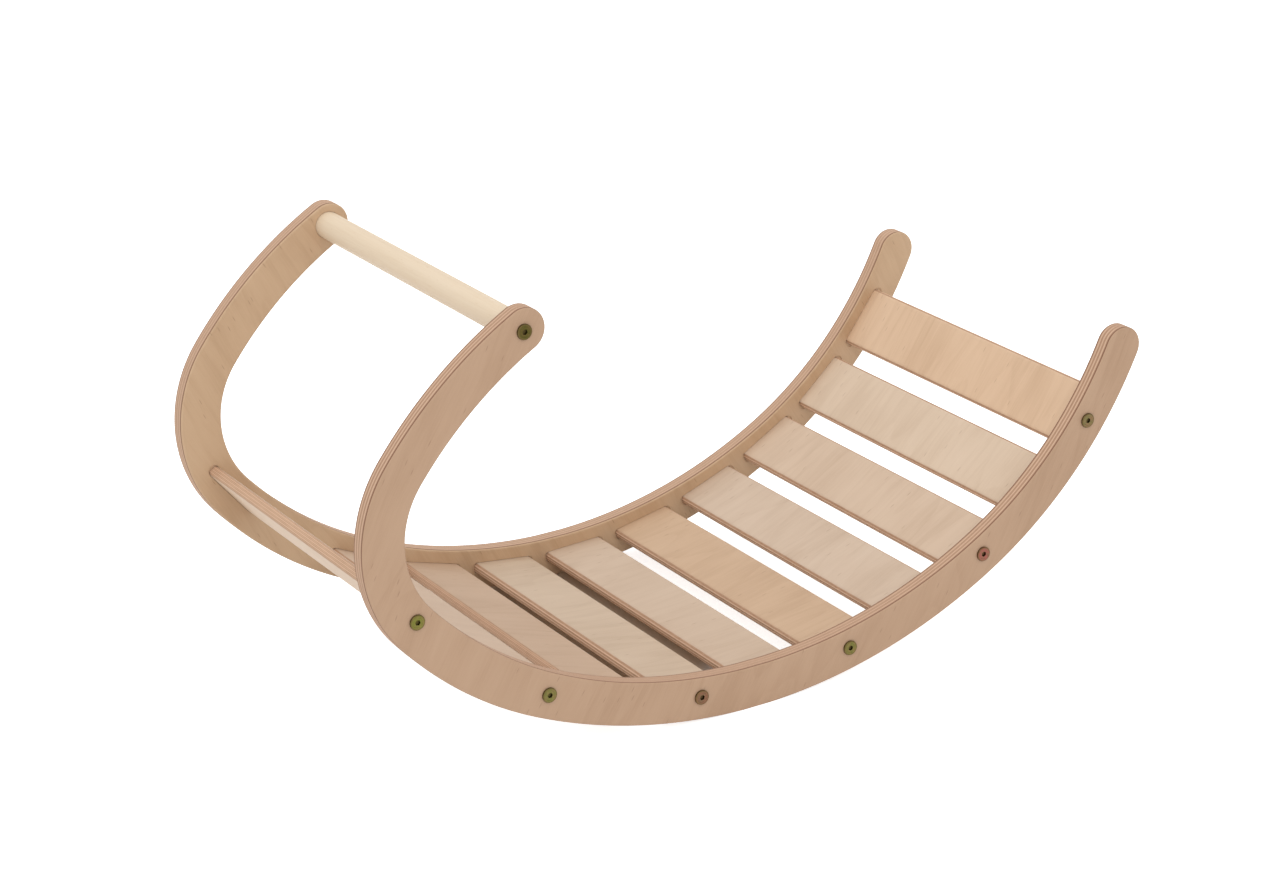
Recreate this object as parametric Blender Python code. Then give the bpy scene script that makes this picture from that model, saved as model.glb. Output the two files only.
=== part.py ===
"""Climbing arch rocker: two hooked plywood side boards joined by ten slats and a round handle.

Metres, +Z up. X runs along the rocker, with the hook and its handle at -X and the ramp tip at +X.
The boards stand at -Y and +Y. The origin is on the floor, at the middle of the bounding box.
"""

import math

import bmesh
import bpy
from mathutils import Matrix, Vector

# Side boards: the lower, rocking edge is a chain of tangent arcs that all bend the same way.
CLEAR_WIDTH = 0.374
BOARD_THICKNESS = 0.018
BOARD_WIDTH = 0.0420
HEEL_SWELL = 0.0045
SEAT_SWELL = 0.0015
HEEL_SWELL_SETBACK = 0.0596
SEAT_SWELL_SETBACK = 0.1198
SEAT_RADIUS = 0.5696
SEAT_TURN_AHEAD = math.radians(29.182)
SEAT_TURN_BEHIND = math.radians(25.218)
FRONT_RADIUS = 0.4460
FRONT_TURN = math.radians(35.15)
HEEL_RADIUS = 0.4057
HEEL_TURN = math.radians(24.65)
BEND_RADIUS = 0.1421
BEND_TURN = math.radians(77.6)
HOOK_RADIUS = 0.4379
HOOK_TURN = math.radians(23.4)
ARRIS_RADIUS = 0.002
REST_FACET = 0.030

# Slats: flat boards whose ends sit in round-ended pockets milled into the side boards. Their middles
# lie one pitch apart on a line parallel to the rocking edge. One place is left open for a foot, and
# the last slat, the step below the hook, sits a little deeper in the board.
RAMP_SLATS = 9
SLATS_LEFT_OUT = 1
SLAT_WIDTH = 0.067
SLAT_THICKNESS = 0.0115
SLAT_ARRIS = 0.003
SLAT_PITCH = 0.08673
SLAT_INSET = 0.02394
FRONT_SLAT_SETBACK = 0.08134
STEP_SINK = 0.0038
STEP_TWIST = math.radians(2.2)
POCKET_DEPTH = 0.006

# Handle: a dowel near the centre of the hook's round tip.
HANDLE_DIAMETER = 0.027
HANDLE_SETBACK = 0.0015
HANDLE_SOCKET_DEPTH = 0.006

# Connector screws, through the side boards into the ends of every second slat and of the handle.
SCREW_DIAMETER = 0.006
SCREW_LENGTH = 0.050
SCREW_POINT = 0.004
HEAD_DIAMETER = 0.015
HEAD_HEIGHT = 0.0020
HEAD_CHAMFER = 0.0008
DISH_DIAMETER = 0.0094
DISH_DEPTH = 0.0003
SOCKET_ACROSS_FLATS = 0.004
SOCKET_DEPTH = 0.0017

CLEARANCE = 0.0003
CUT_PAST = 0.002

FINE_TURN = math.radians(3.0)
BEND_STEP = math.radians(5.0)
TIP_STEPS = 12
POCKET_END_STEPS = 8
CORNER_STEPS = 3
HANDLE_SIDES = 32
SCREW_SIDES = 16
HOLE_SIDES = 16
HEX_SIDES = 6
ARRIS_SEGMENTS = 2
ARRIS_ANGLE = math.radians(45.0)
SHARP_ANGLE = math.radians(35.0)
WELD_DISTANCE = 0.000001

# Plain finishes: linear base colour and roughness.
BOARD_FINISH = ((0.52, 0.36, 0.24), 0.55)
SLAT_FINISH = ((0.63, 0.50, 0.36), 0.55)
HANDLE_FINISH = ((0.78, 0.65, 0.46), 0.5)
SCREW_FINISH = ((0.36, 0.33, 0.18), 0.35)
SCREW_METALLIC = 0.9

ARCS_AHEAD = ((SEAT_RADIUS, SEAT_TURN_AHEAD, FINE_TURN), (FRONT_RADIUS, FRONT_TURN, FINE_TURN))
ARCS_BEHIND = (
    (SEAT_RADIUS, SEAT_TURN_BEHIND, FINE_TURN),
    (HEEL_RADIUS, HEEL_TURN, FINE_TURN),
    (BEND_RADIUS, BEND_TURN, BEND_STEP),
    (HOOK_RADIUS, HOOK_TURN, FINE_TURN),
)


def length_of(arcs, inset=0.0):
    """Length of a run of arcs, or of the line at that inset from them."""
    return sum((radius - inset) * turn for radius, turn, _ in arcs)


LENGTH_AHEAD = length_of(ARCS_AHEAD)
LENGTH_BEHIND = length_of(ARCS_BEHIND)

# Signed distances along the rocking edge, from the point that touches the floor, + towards the ramp.
HOOK_JOINT = -length_of(ARCS_BEHIND[:3])
HEEL_PEAK = -length_of(ARCS_BEHIND[:2]) + HEEL_SWELL_SETBACK
SEAT_PEAK = -length_of(ARCS_BEHIND[:1]) + SEAT_SWELL_SETBACK
SWELLS = ((HOOK_JOINT, 0.0), (HEEL_PEAK, HEEL_SWELL), (SEAT_PEAK, SEAT_SWELL), (LENGTH_AHEAD, 0.0))


def heading_vector(heading):
    """Unit vector along the edge, in the plane of the board."""
    return Vector((math.cos(heading), math.sin(heading)))


def inward_vector(heading):
    """Unit vector across the board, from the rocking edge to the inner edge."""
    return Vector((-math.sin(heading), math.cos(heading)))


def edge_at(distance, inset=0.0):
    """Point and heading of the rocking edge, or of the line at that inset from it.

    The distance is signed and runs along the line itself, from above the floor contact.
    """
    side = 1 if distance >= 0 else -1
    left = abs(distance)
    point = Vector((0.0, inset))
    heading = 0.0
    for radius, turn, _ in ARCS_AHEAD if side > 0 else ARCS_BEHIND:
        step = min(left / (radius - inset), turn)
        turned = heading + side * step
        along = math.sin(turned) - math.sin(heading)
        up = math.cos(heading) - math.cos(turned)
        point += (radius - inset) * Vector((along, up))
        heading = turned
        left -= step * (radius - inset)
        if left <= 0:
            break
    return point, heading


def width_at(distance):
    """Width of the board there: it swells smoothly at the heel and a little under the seat."""
    swell = 0.0
    for (start, low), (end, high) in zip(SWELLS, SWELLS[1:]):
        if start <= distance <= end:
            share = (distance - start) / (end - start)
            swell = low + (high - low) * share * share * (3 - 2 * share)
    return BOARD_WIDTH + swell


def edge_stations(arcs):
    """Distances from the floor contact of the outline's points on one side of it."""
    stations = [REST_FACET / 2]
    end = 0.0
    for radius, turn, finest in arcs:
        start = max(end, stations[-1])
        end += radius * turn
        steps = max(1, math.ceil((end - start) / (radius * finest)))
        stations += [start + (end - start) * step / steps for step in range(1, steps + 1)]
    return stations


def round_end(distance, start_angle):
    """Points of the half circle that rounds the board's tip, without its two ends."""
    point, heading = edge_at(distance)
    radius = width_at(distance) / 2
    centre = point + radius * inward_vector(heading)
    angles = [heading + start_angle + math.pi * step / TIP_STEPS for step in range(1, TIP_STEPS)]
    return [centre + radius * heading_vector(angle) for angle in angles]


def board_outline():
    """Outline of a side board, in the order rocking edge, ramp tip, inner edge, hook tip."""
    behind = [-station for station in reversed(edge_stations(ARCS_BEHIND))]
    distances = behind + edge_stations(ARCS_AHEAD)
    outer = []
    inner = []
    for distance in distances:
        point, heading = edge_at(distance)
        outer.append(point)
        inner.append(point + width_at(distance) * inward_vector(heading))
    ramp_tip = round_end(LENGTH_AHEAD, -math.pi / 2)
    hook_tip = round_end(-LENGTH_BEHIND, math.pi / 2)
    return outer + ramp_tip + inner[::-1] + hook_tip


def to_floor_centre(outline):
    """Shift that puts the outline's lowest point on the floor and its middle at x = 0."""
    xs = [point.x for point in outline]
    return Vector((-(min(xs) + max(xs)) / 2, -min(point.y for point in outline)))


RAW_OUTLINE = board_outline()
SHIFT = to_floor_centre(RAW_OUTLINE)
OUTLINE = [point + SHIFT for point in RAW_OUTLINE]


def slat_places():
    """Centre and tilt of each slat's section, from the ramp tip to the step below the hook."""
    front = length_of(ARCS_AHEAD, SLAT_INSET) - FRONT_SLAT_SETBACK
    places = []
    for index in range(RAMP_SLATS):
        point, heading = edge_at(front - index * SLAT_PITCH, SLAT_INSET)
        places.append((point + SHIFT, heading))
    point, heading = edge_at(front - (RAMP_SLATS + SLATS_LEFT_OUT) * SLAT_PITCH, SLAT_INSET)
    sunk = STEP_SINK * inward_vector(heading)
    places.append((point + sunk + SHIFT, heading + STEP_TWIST))
    return places


def handle_place():
    """The handle's axis: in the middle of the board, a little back from the hook's round tip."""
    distance = HANDLE_SETBACK - LENGTH_BEHIND
    point, heading = edge_at(distance)
    return point + width_at(distance) / 2 * inward_vector(heading) + SHIFT


SLAT_PLACES = slat_places()
HANDLE_PLACE = handle_place()
STEP_NUMBER = RAMP_SLATS + 1
SCREWED_SLATS = [*range(1, STEP_NUMBER, 2), STEP_NUMBER]
SCREW_PLACES = [(f"slat_{number:02d}", SLAT_PLACES[number - 1][0]) for number in SCREWED_SLATS]
SCREW_PLACES.append(("handle", HANDLE_PLACE))

INNER_FACE = CLEAR_WIDTH / 2
OUTER_FACE = INNER_FACE + BOARD_THICKNESS
SLAT_END = INNER_FACE + POCKET_DEPTH - CLEARANCE
HANDLE_END = INNER_FACE + HANDLE_SOCKET_DEPTH - CLEARANCE
HEAD_SEAT = OUTER_FACE + CLEARANCE
SCREW_TIP = HEAD_SEAT - SCREW_LENGTH


def clear_scene():
    """Removes every object of the file that is open."""
    for existing in list(bpy.data.objects):
        bpy.data.objects.remove(existing, do_unlink=True)


def make_material(name, colour, roughness, metallic=0.0):
    """Principled material of one plain finish."""
    material = bpy.data.materials.new(name)
    material.use_nodes = True
    shader = material.node_tree.nodes["Principled BSDF"]
    shader.inputs["Base Color"].default_value = (*colour, 1.0)
    shader.inputs["Roughness"].default_value = roughness
    shader.inputs["Metallic"].default_value = metallic
    return material


def add_prism(mesh, outline, low, high):
    """Adds to the mesh a closed prism: the outline in X and Z, from y = low to y = high."""
    corners = [mesh.verts.new((point.x, low, point.y)) for point in outline]
    base = mesh.faces.new(corners)
    top = bmesh.ops.extrude_face_region(mesh, geom=[base])
    moved = [element for element in top["geom"] if isinstance(element, bmesh.types.BMVert)]
    bmesh.ops.translate(mesh, vec=(0.0, high - low, 0.0), verts=moved)


def circle(centre, radius, sides):
    """Points of a circle in the plane of the board."""
    turn = 2 * math.pi / sides
    return [centre + radius * heading_vector(turn * step) for step in range(sides)]


def rounded_section(width, height, radius, steps):
    """Rectangle in X and Z about the origin, with its four corners rounded."""
    points = []
    for quarter, (across, up) in enumerate(((1, 1), (-1, 1), (-1, -1), (1, -1))):
        centre = Vector((across * (width / 2 - radius), up * (height / 2 - radius)))
        for step in range(steps + 1):
            angle = math.pi / 2 * (quarter + step / steps)
            points.append(centre + radius * heading_vector(angle))
    return points


def finish_mesh(mesh, name):
    """Turns the faces outwards and returns them as a smooth-shaded mesh."""
    bmesh.ops.recalc_face_normals(mesh, faces=mesh.faces)
    data = bpy.data.meshes.new(name)
    mesh.to_mesh(data)
    mesh.free()
    data.shade_smooth()
    data.set_sharp_from_angle(angle=SHARP_ANGLE)
    return data


def add_object(name, data, material=None):
    """Puts a mesh into the scene as a named object."""
    piece = bpy.data.objects.new(name, data)
    bpy.context.scene.collection.objects.link(piece)
    if material:
        data.materials.clear()
        data.materials.append(material)
    return piece


def add_cutter(name, mesh):
    """Helper that only cuts: it isn't a piece of the rocker."""
    cutter = add_object(name, finish_mesh(mesh, name))
    cutter.hide_render = True
    cutter.display_type = "WIRE"
    return cutter


def cut(piece, cutter):
    """Cuts the helper's shape out of the piece."""
    boolean = piece.modifiers.new(cutter.name, "BOOLEAN")
    boolean.operation = "DIFFERENCE"
    boolean.solver = "EXACT"
    boolean.object = cutter


def pocket_outline(place, tilt):
    """Round-ended slot that a slat's end fits with the clearance all round."""
    radius = SLAT_THICKNESS / 2 + CLEARANCE
    reach = SLAT_WIDTH / 2 - SLAT_ARRIS
    points = []
    for side in (1, -1):
        centre = place + side * reach * heading_vector(tilt)
        for step in range(POCKET_END_STEPS + 1):
            angle = tilt - side * math.pi / 2 + math.pi * step / POCKET_END_STEPS
            points.append(centre + radius * heading_vector(angle))
    return points


def build_side_board(name, side, material):
    """J-shaped board with rounded arrises, pockets for the slats, a handle socket and screw holes."""
    mesh = bmesh.new()
    faces = sorted((side * INNER_FACE, side * OUTER_FACE))
    add_prism(mesh, OUTLINE, *faces)
    board = add_object(name, finish_mesh(mesh, name), material)
    arris = board.modifiers.new("Rounded arrises", "BEVEL")
    arris.width = ARRIS_RADIUS
    arris.segments = ARRIS_SEGMENTS
    arris.limit_method = "ANGLE"
    arris.angle_limit = ARRIS_ANGLE
    arris.use_clamp_overlap = False

    inside = INNER_FACE - CUT_PAST
    pockets = bmesh.new()
    for place, tilt in SLAT_PLACES:
        depths = sorted((side * inside, side * (INNER_FACE + POCKET_DEPTH)))
        add_prism(pockets, pocket_outline(place, tilt), *depths)
    socket = circle(HANDLE_PLACE, HANDLE_DIAMETER / 2 + CLEARANCE, HANDLE_SIDES)
    depths = sorted((side * inside, side * (INNER_FACE + HANDLE_SOCKET_DEPTH)))
    add_prism(pockets, socket, *depths)
    cut(board, add_cutter(f"{name}_pockets", pockets))

    holes = bmesh.new()
    depths = sorted((side * inside, side * (OUTER_FACE + CUT_PAST)))
    for _, place in SCREW_PLACES:
        add_prism(holes, circle(place, SCREW_DIAMETER / 2 + CLEARANCE, HOLE_SIDES), *depths)
    cut(board, add_cutter(f"{name}_holes", holes))


def screw_bores(name):
    """Cutter for the two holes that take screws, along Y at x = z = 0."""
    bores = bmesh.new()
    outline = circle(Vector((0.0, 0.0)), SCREW_DIAMETER / 2 + CLEARANCE, HOLE_SIDES)
    reach = max(SLAT_END, HANDLE_END) + CUT_PAST
    for side in (-1, 1):
        add_prism(bores, outline, *sorted((side * (SCREW_TIP - CLEARANCE), side * reach)))
    return add_cutter(name, bores)


def evaluated_mesh(piece, name):
    """Mesh of a piece with its modifiers applied, for pieces that share it."""
    graph = bpy.context.evaluated_depsgraph_get()
    graph.update()
    data = bpy.data.meshes.new_from_object(piece.evaluated_get(graph))
    data.name = name
    data.set_sharp_from_angle(angle=SHARP_ANGLE)
    return data


def slat_meshes():
    """The plain slat and the slat bored for a screw at each end, about their own middles."""
    mesh = bmesh.new()
    section = rounded_section(SLAT_WIDTH, SLAT_THICKNESS, SLAT_ARRIS, CORNER_STEPS)
    add_prism(mesh, section, -SLAT_END, SLAT_END)
    plain = finish_mesh(mesh, "slat")
    blank = add_object("slat_blank", plain)
    bores = screw_bores("slat_bores")
    cut(blank, bores)
    bored = evaluated_mesh(blank, "bored_slat")
    bpy.data.objects.remove(blank)
    bpy.data.objects.remove(bores)
    return plain, bored


def build_slats(material):
    """Ten slats along the arch, numbered from the ramp tip to the hook."""
    plain, bored = slat_meshes()
    for number, (place, tilt) in enumerate(SLAT_PLACES, start=1):
        data = bored if number in SCREWED_SLATS else plain
        slat = add_object(f"slat_{number:02d}", data, material)
        slat.location = (place.x, 0.0, place.y)
        slat.rotation_euler = (0.0, -tilt, 0.0)


def build_handle(material):
    """Round handle between the hooks, bored for a screw at each end."""
    mesh = bmesh.new()
    outline = circle(Vector((0.0, 0.0)), HANDLE_DIAMETER / 2, HANDLE_SIDES)
    add_prism(mesh, outline, -HANDLE_END, HANDLE_END)
    handle = add_object("handle", finish_mesh(mesh, "handle"), material)
    handle.location = (HANDLE_PLACE.x, 0.0, HANDLE_PLACE.y)
    bores = screw_bores("handle_bores")
    bores.location = handle.location
    cut(handle, bores)


def screw_mesh():
    """Connector screw on the Z axis: its head is above z = 0, and has a six-sided socket."""
    shank = SCREW_DIAMETER / 2
    head = HEAD_DIAMETER / 2
    floor = HEAD_HEIGHT - DISH_DEPTH
    profile = (
        (0.0, -SCREW_LENGTH),
        (shank, SCREW_POINT - SCREW_LENGTH),
        (shank, 0.0),
        (head, 0.0),
        (head, HEAD_HEIGHT - HEAD_CHAMFER),
        (head - HEAD_CHAMFER, HEAD_HEIGHT),
        (DISH_DIAMETER / 2 + DISH_DEPTH, HEAD_HEIGHT),
        (DISH_DIAMETER / 2, floor),
        (0.0, floor),
    )
    mesh = bmesh.new()
    points = [mesh.verts.new((radius, 0.0, height)) for radius, height in profile]
    edges = [mesh.edges.new(pair) for pair in zip(points, points[1:])]
    bmesh.ops.spin(
        mesh,
        geom=points + edges,
        axis=(0.0, 0.0, 1.0),
        cent=(0.0, 0.0, 0.0),
        steps=SCREW_SIDES,
        angle=2 * math.pi,
    )
    bmesh.ops.remove_doubles(mesh, verts=mesh.verts, dist=WELD_DISTANCE)
    blank = add_object("screw_blank", finish_mesh(mesh, "screw_blank"))

    key = bmesh.new()
    bmesh.ops.create_cone(
        key,
        cap_ends=True,
        segments=HEX_SIDES,
        radius1=SOCKET_ACROSS_FLATS / math.sqrt(3),
        radius2=SOCKET_ACROSS_FLATS / math.sqrt(3),
        depth=2 * SOCKET_DEPTH,
        matrix=Matrix.Translation((0.0, 0.0, floor)),
    )
    cutter = add_cutter("screw_socket", key)
    cut(blank, cutter)
    data = evaluated_mesh(blank, "screw")
    bpy.data.objects.remove(blank)
    bpy.data.objects.remove(cutter)
    return data


def build_screws(material):
    """One screw at each place, on both sides of the rocker."""
    data = screw_mesh()
    for side, name in ((-1, "near"), (1, "far")):
        for target, place in SCREW_PLACES:
            screw = add_object(f"screw_{name}_{target}", data, material)
            screw.location = (place.x, side * HEAD_SEAT, place.y)
            screw.rotation_euler = (-side * math.pi / 2, 0.0, 0.0)


def build_rocker():
    """Builds every piece of the rocker."""
    clear_scene()
    birch = make_material("birch_board", *BOARD_FINISH)
    pale_birch = make_material("birch_slat", *SLAT_FINISH)
    beech = make_material("beech_handle", *HANDLE_FINISH)
    zinc = make_material("zinc_screw", *SCREW_FINISH, SCREW_METALLIC)
    build_side_board("side_board_near", -1, birch)
    build_side_board("side_board_far", 1, birch)
    build_slats(pale_birch)
    build_handle(beech)
    build_screws(zinc)


build_rocker()
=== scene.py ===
"""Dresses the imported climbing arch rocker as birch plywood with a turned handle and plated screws.

Metres, +Z up, in the frame of the CAD part: X runs from the hook to the ramp tip, Y from the near
side board to the far one, and the floor is at z = 0.
"""

from __future__ import annotations

import logging
import math
from collections.abc import Mapping, Sequence
from dataclasses import dataclass, field
from enum import Enum
from typing import Any

import bmesh
import bpy
from mathutils import Color, Matrix, Vector

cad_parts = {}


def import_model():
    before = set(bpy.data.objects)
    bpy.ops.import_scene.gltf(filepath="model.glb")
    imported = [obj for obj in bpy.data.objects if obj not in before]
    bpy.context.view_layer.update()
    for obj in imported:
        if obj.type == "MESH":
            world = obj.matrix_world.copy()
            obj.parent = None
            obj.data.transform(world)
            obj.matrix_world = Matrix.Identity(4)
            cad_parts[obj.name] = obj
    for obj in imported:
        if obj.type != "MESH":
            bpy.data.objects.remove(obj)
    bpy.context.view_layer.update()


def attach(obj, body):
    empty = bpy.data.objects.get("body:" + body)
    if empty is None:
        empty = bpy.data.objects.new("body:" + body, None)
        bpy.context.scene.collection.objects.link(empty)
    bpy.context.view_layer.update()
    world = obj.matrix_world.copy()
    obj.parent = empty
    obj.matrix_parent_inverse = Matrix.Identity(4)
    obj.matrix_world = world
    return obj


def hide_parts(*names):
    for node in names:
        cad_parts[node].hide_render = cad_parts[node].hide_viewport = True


LOG = logging.getLogger("rocker")
BODY = "root"
MILLIMETRE = 0.001
QUARTER_TURN = math.pi / 2
SCREEN_WHITE = 255

Triple = tuple[float, float, float]
Colour = Triple
Step = tuple[float, float]
Settings = Mapping[str, Any]
Sockets = Mapping[Any, Any]
Mesh = bmesh.types.BMesh
Material = bpy.types.Material


def screen(*channels: int) -> Colour:
    """Linear colour of an eight-bit screen colour.

    Args:
        channels: Red, green and blue, from 0 to 255.

    Returns:
        The three linear values.
    """
    return tuple(Color([channel / SCREEN_WHITE for channel in channels]).from_srgb_to_scene_linear())


def scaled(colour: Colour, shares: Triple) -> Colour:
    """The colour with each channel times its share."""
    return tuple(channel * share for channel, share in zip(colour, shares))


class Value:
    """A number, colour or vector that changes over a surface: one output socket of a node."""

    NOISE_MIDDLE = 0.5

    def __init__(self, bench: Bench, socket: bpy.types.NodeSocket) -> None:
        """Keeps the socket and the bench whose tree it is in."""
        self.bench = bench
        self.socket = socket

    def __add__(self, other: Number) -> Value:
        """Sum."""
        return self.bench.maths("ADD", self, other)

    def __radd__(self, other: Number) -> Value:
        """Sum, with the number first."""
        return self.bench.maths("ADD", other, self)

    def __sub__(self, other: Number) -> Value:
        """Difference."""
        return self.bench.maths("SUBTRACT", self, other)

    def __rsub__(self, other: Number) -> Value:
        """Difference, with the number first."""
        return self.bench.maths("SUBTRACT", other, self)

    def __mul__(self, other: Number) -> Value:
        """Product."""
        return self.bench.maths("MULTIPLY", self, other)

    def __rmul__(self, other: Number) -> Value:
        """Product, with the number first."""
        return self.bench.maths("MULTIPLY", other, self)

    def __truediv__(self, other: Number) -> Value:
        """Quotient."""
        return self.bench.maths("DIVIDE", self, other)

    def __pow__(self, other: Number) -> Value:
        """Power."""
        return self.bench.maths("POWER", self, other)

    def __mod__(self, other: Number) -> Value:
        """Remainder, never below zero."""
        return self.bench.maths("FLOORED_MODULO", self, other)

    def __abs__(self) -> Value:
        """Size without sign."""
        return self.bench.maths("ABSOLUTE", self)

    def __gt__(self, other: Number) -> Value:
        """One where the value is above the other, and zero elsewhere."""
        return self.bench.maths("GREATER_THAN", self, other)

    def swing(self, strength: float) -> Value:
        """A noise as a swing of that strength to both sides of zero."""
        return strength * (self - self.NOISE_MIDDLE)

    def rise(self, low: float, high: float) -> Value:
        """Smooth step of the value.

        Args:
            low: Where the step is still zero.
            high: Where it has reached one. It may be below low, and the step then falls.

        Returns:
            A value from zero to one.
        """
        settings = {"interpolation_type": "SMOOTHSTEP"}
        if low < high:
            sockets = {"Value": self, "From Min": low, "From Max": high}
        else:
            sockets = {"Value": self, "From Min": high, "From Max": low, "To Min": 1.0, "To Max": 0.0}
        return self.bench.add("ShaderNodeMapRange", settings, sockets)


Number = Value | float


@dataclass(frozen=True)
class Figure:
    """A noise in a surface, whose grains may be long one way.

    It has grains per metre along each axis, finer layers, how rough those are, a shift that sets it
    apart and how much it moves what it is used for.
    """

    grains: Triple
    layers: float
    rough: float
    shift: float = 0.0
    strength: float = 1.0


class Bench:
    """Adds the nodes of one material or world."""

    # How far a pattern's shift moves it along each axis.
    SHIFT_AXES = (1.0, 1.7, 0.6)
    # Places of the sockets that a Mix node uses for colours.
    MIX_SHARE, MIX_FIRST, MIX_SECOND, MIX_RESULT = 0, 6, 7, 2

    def __init__(self, tree: bpy.types.NodeTree) -> None:
        """Clears the tree and keeps it."""
        tree.nodes.clear()
        self.tree = tree

    @classmethod
    def for_material(cls, name: str) -> tuple[Material, Bench]:
        """New material and the bench of its nodes.

        Args:
            name: The material's name.

        Returns:
            The material and its bench.
        """
        material = bpy.data.materials.new(name)
        material.use_nodes = True
        return material, cls(material.node_tree)

    def add(
        self, kind: str, settings: Settings | None = None, sockets: Sockets | None = None, output: Any = 0
    ) -> Value:
        """Adds one node.

        Args:
            kind: The node's type.
            settings: Its properties, and for a ramp its stops, which are set first.
            sockets: Numbers, colours or values for its input sockets, by name or place.
            output: The name or place of the output that is wanted.

        Returns:
            That output as a value.
        """
        node = self.tree.nodes.new(kind)
        for name, setting in (settings or {}).items():
            if name == "stops":
                self._set_stops(node.color_ramp, setting)
            else:
                setattr(node, name, setting)
        for place, source in (sockets or {}).items():
            self._plug(node.inputs[place], source)
        return Value(self, node.outputs[output] if node.outputs else None)

    def _plug(self, socket: bpy.types.NodeSocket, source: Any) -> None:
        """Links a value to a socket, or sets its number or colour.

        Args:
            socket: The input socket.
            source: The value, number, vector or colour.
        """
        if isinstance(source, Value):
            self.tree.links.new(source.socket, socket)
        elif socket.type == "RGBA":
            socket.default_value = (*source, 1.0)
        else:
            socket.default_value = source

    @staticmethod
    def _set_stops(ramp: bpy.types.ColorRamp, stops: Sequence[tuple[float, Colour]]) -> None:
        """Gives a ramp its stops.

        Args:
            ramp: The ramp, which has two stops.
            stops: A position and a colour for each, in order.
        """
        while len(ramp.elements) < len(stops):
            ramp.elements.new(stops[-1][0])
        for element, (position, colour) in zip(ramp.elements, stops):
            element.position = position
            element.color = (*colour, 1.0)

    def maths(self, operation: str, *terms: Number) -> Value:
        """Math node of that operation on one or more numbers or values."""
        return self.add("ShaderNodeMath", {"operation": operation}, dict(enumerate(terms)))

    def blend(self, share: Number, first: Any, second: Any) -> Value:
        """Mix node on two colours.

        Args:
            share: How much of the second colour there is.
            first: A colour or a value.
            second: A colour or a value.

        Returns:
            The mixed colour.
        """
        sockets = {self.MIX_SHARE: share, self.MIX_FIRST: first, self.MIX_SECOND: second}
        return self.add("ShaderNodeMix", {"data_type": "RGBA"}, sockets, self.MIX_RESULT)

    def ramp(self, tone: Value, places: Triple, colours: Sequence[Colour]) -> Value:
        """Colour that follows a tone through three stops, of which the middle one is where it is zero."""
        stops = tuple(zip(places, colours))
        return self.add("ShaderNodeValToRGB", {"stops": stops}, {"Fac": places[1] + tone})

    def vector(self, operation: str, *terms: Any, output: str = "Vector") -> Value:
        """Vector Math node of that operation on vectors or values."""
        return self.add("ShaderNodeVectorMath", {"operation": operation}, dict(enumerate(terms)), output)

    def along(self, place: Value, axis: Sequence[float]) -> Value:
        """Length of a vector along an axis."""
        return self.vector("DOT_PRODUCT", place, tuple(axis), output="Value")

    def noise(self, place: Value, figure: Figure, shift: float = 0.0) -> Value:
        """Noise about 0.5.

        Args:
            place: The place on the surface, in metres.
            figure: Its grains.
            shift: Moves the pattern, so that each piece has its own.

        Returns:
            The noise, from zero to one.
        """
        move = tuple(share * (shift + figure.shift) for share in self.SHIFT_AXES)
        stretched = self.vector("MULTIPLY_ADD", place, figure.grains, move)
        sockets = {"Vector": stretched, "Scale": 1.0, "Detail": figure.layers, "Roughness": figure.rough}
        return self.add("ShaderNodeTexNoise", None, sockets)

    def surface(self, sockets: Sockets, relief: Sockets) -> None:
        """Ends a material's tree in the usual shader.

        Args:
            sockets: Numbers, colours or values for the shader, without its normal.
            relief: Strength, distance and height of the fine relief.
        """
        normal = self.add("ShaderNodeBump", None, relief)
        self.finish(self.add("ShaderNodeBsdfPrincipled", None, {**sockets, "Normal": normal}))

    def finish(self, shader: Value) -> None:
        """Ends a material's tree in that shader."""
        self.add("ShaderNodeOutputMaterial", None, {"Surface": shader})


@dataclass(frozen=True)
class Lay:
    """How a plywood piece was cut from its sheet: unit axes, and where its plies begin."""

    grain: Triple
    across: Triple
    depth: Triple
    start: float

    @classmethod
    def upright(cls, angle: float, start: float) -> Lay:
        """Board in the X-Z plane.

        Args:
            angle: The angle of the face grain above X, in radians.
            start: Y of the face where the plies begin.

        Returns:
            The lay.
        """
        cosine, sine = math.cos(angle), math.sin(angle)
        return cls((cosine, 0.0, sine), (-sine, 0.0, cosine), (0.0, 1.0, 0.0), start)

    @classmethod
    def flat(cls, thickness: float) -> Lay:
        """Slat in its own X-Y plane, with its face grain along X."""
        return cls((1.0, 0.0, 0.0), (0.0, 1.0, 0.0), (0.0, 0.0, 1.0), -thickness / 2)


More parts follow.
